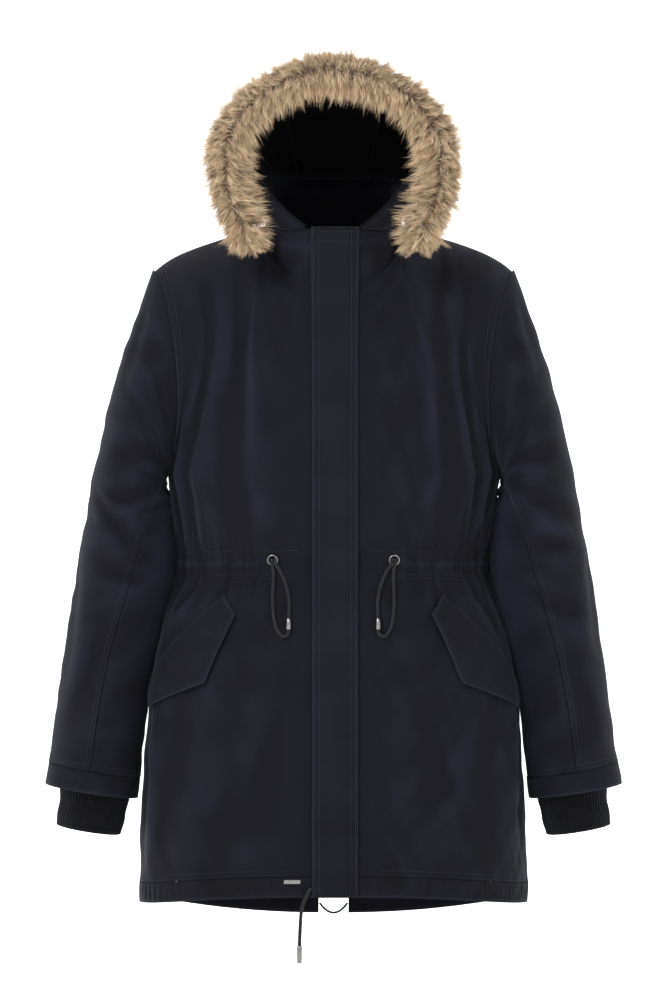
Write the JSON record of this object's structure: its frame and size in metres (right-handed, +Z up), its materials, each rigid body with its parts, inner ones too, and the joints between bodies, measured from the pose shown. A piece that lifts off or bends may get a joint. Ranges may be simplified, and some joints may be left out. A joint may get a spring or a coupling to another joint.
{
  "type": "fur trimmed parka",
  "caption": "Hip-length hooded parka worn open-bodied: full-length placket, drawcord waist, slanted pocket flaps, rib knit cuffs and a fur trimmed hood, hollow and standing as if filled.",
  "frame": {"origin": "base of the wearer's neck, in the middle of the neck opening, where the garment hangs on its wearer", "axes": "+Z up, the front faces -Y, +X is towards the wearer's left"},
  "size_m": [0.7492, 0.3148, 1.1536],
  "materials": {
    "navy_twill": "matte cotton twill with a soft nap",
    "navy_twill_doubled": "doubled matte cotton twill with topstitched edges",
    "black_lining": "plain black lining cloth",
    "black_rib_knit": "one by one rib knit",
    "brown_fur": "long brown fur with pale tips",
    "black_cord": "round braided cord",
    "gunmetal": "dark satin metal"
  },
  "bodies": {
    "root": {"front_left": "navy_twill", "front_right": "navy_twill", "back_left": "navy_twill", "back_right": "navy_twill", "stand_left": "navy_twill", "stand_right": "navy_twill", "stand_back": "navy_twill", "hood_left": "navy_twill", "hood_right": "navy_twill", "hood_centre": "navy_twill", "hood_edge": "navy_twill", "sleeve_top_left": "navy_twill", "sleeve_top_right": "navy_twill", "sleeve_under_left": "navy_twill", "sleeve_under_right": "navy_twill", "sleeve_hem_left": "navy_twill", "sleeve_hem_right": "navy_twill", "hem_front_left": "navy_twill_doubled", "hem_front_right": "navy_twill_doubled", "hem_back_left": "navy_twill_doubled", "hem_back_right": "navy_twill_doubled", "placket": "navy_twill_doubled", "pocket_flap_left": "navy_twill_doubled", "pocket_flap_right": "navy_twill_doubled", "hood_lining_left": "black_lining", "hood_lining_right": "black_lining", "hood_lining_centre": "black_lining", "knit_cuff_left": "black_rib_knit", "knit_cuff_right": "black_rib_knit", "fur_trim": "brown_fur", "waist_cord_left": "black_cord", "waist_cord_right": "black_cord", "hem_cord": "black_cord", "vent_cord": "black_cord", "eyelet_left": "gunmetal", "eyelet_right": "gunmetal", "ferrule_left": "gunmetal", "ferrule_right": "gunmetal", "hem_cord_tip": "gunmetal", "hem_bar": "gunmetal"}
  },
  "joints": []
}
